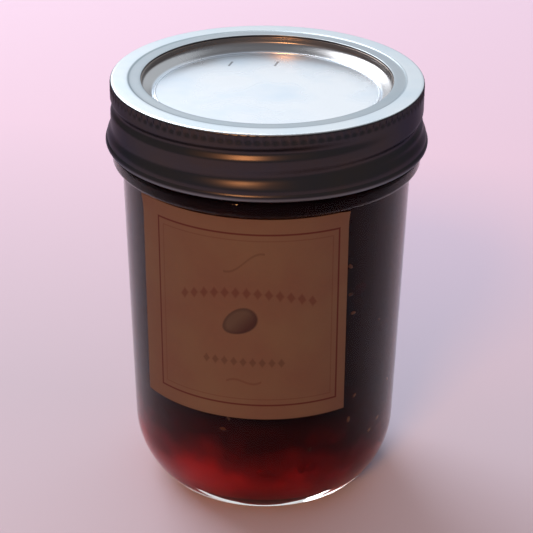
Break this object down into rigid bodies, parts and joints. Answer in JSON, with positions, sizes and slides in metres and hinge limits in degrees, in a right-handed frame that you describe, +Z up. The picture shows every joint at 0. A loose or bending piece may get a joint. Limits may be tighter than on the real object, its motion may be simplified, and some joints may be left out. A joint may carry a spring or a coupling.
{
  "type": "jam jar",
  "caption": "Small glass preserving jar filled with dark red jam, closed by a flat metal lid under a screw band, with a square paper label on the front",
  "frame": {"origin": "centre of the base, on the surface the jar stands on", "axes": "+Z up along the jar's axis; the label faces -Y; +X to the right of the label as a viewer reads it"},
  "size_m": [0.0734, 0.0734, 0.099],
  "materials": {
    "clear_glass": "smooth clear soda-lime glass",
    "jam": null,
    "lid_metal": "tin-plated sheet steel, satin",
    "band_metal": "tin-plated sheet steel, semi-bright",
    "label_paper": "uncoated brown-toned paper with printed rule lines"
  },
  "bodies": {
    "root": {"glass_jar": "clear_glass", "jam": "jam", "lid_disc": "lid_metal", "screw_band": "band_metal", "paper_label": "label_paper"}
  },
  "joints": []
}
